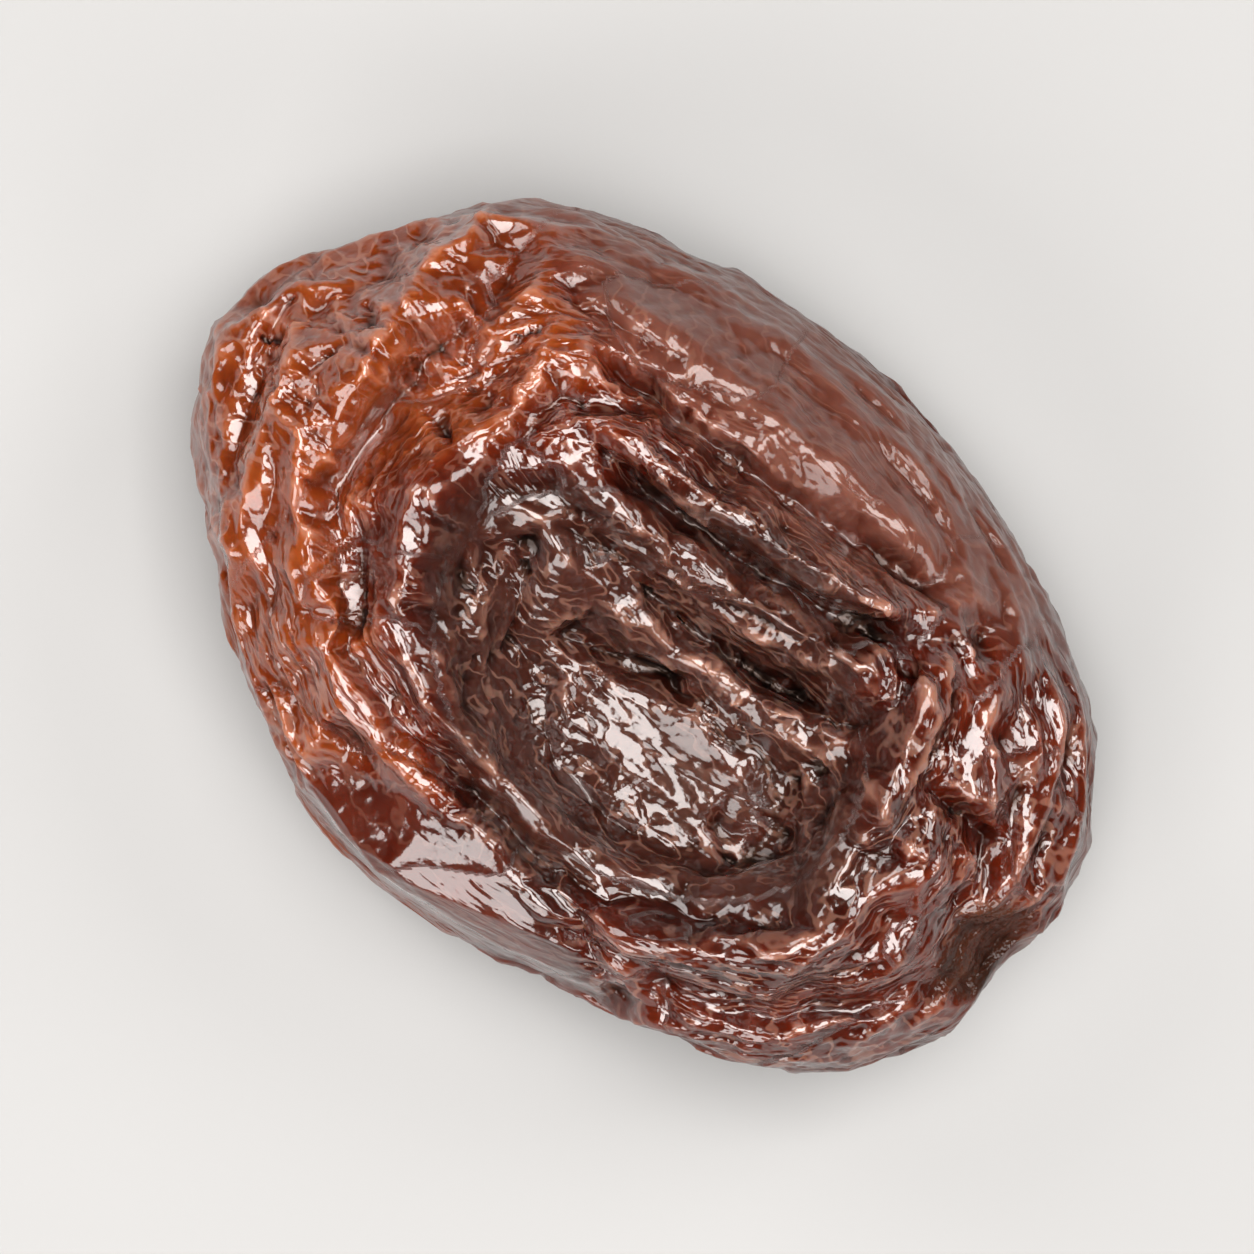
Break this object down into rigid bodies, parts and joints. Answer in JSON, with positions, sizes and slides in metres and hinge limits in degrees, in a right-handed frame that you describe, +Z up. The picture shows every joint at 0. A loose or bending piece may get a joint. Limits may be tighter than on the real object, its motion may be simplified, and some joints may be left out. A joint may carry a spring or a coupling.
{
  "type": "dried bing cherry",
  "caption": "Single dried, pitted dark sweet cherry: a low oval cushion of glossy wrinkled skin with a raised rim, a deep pit hollow on top and a stem scar at one end.",
  "frame": {"origin": "middle of the fruit's outline, on the surface that it rests on", "axes": "+Z up through the pit hollow; +X along the fruit towards the stem scar; +Y across it towards the broad smooth side of the rim"},
  "size_m": [0.022, 0.0154, 0.009],
  "materials": {
    "dried_fruit": "glossy, wrinkled dried fruit skin, amber brown at the thin rim and near black in the hollow"
  },
  "bodies": {
    "root": {"cherry": "dried_fruit"}
  },
  "joints": []
}
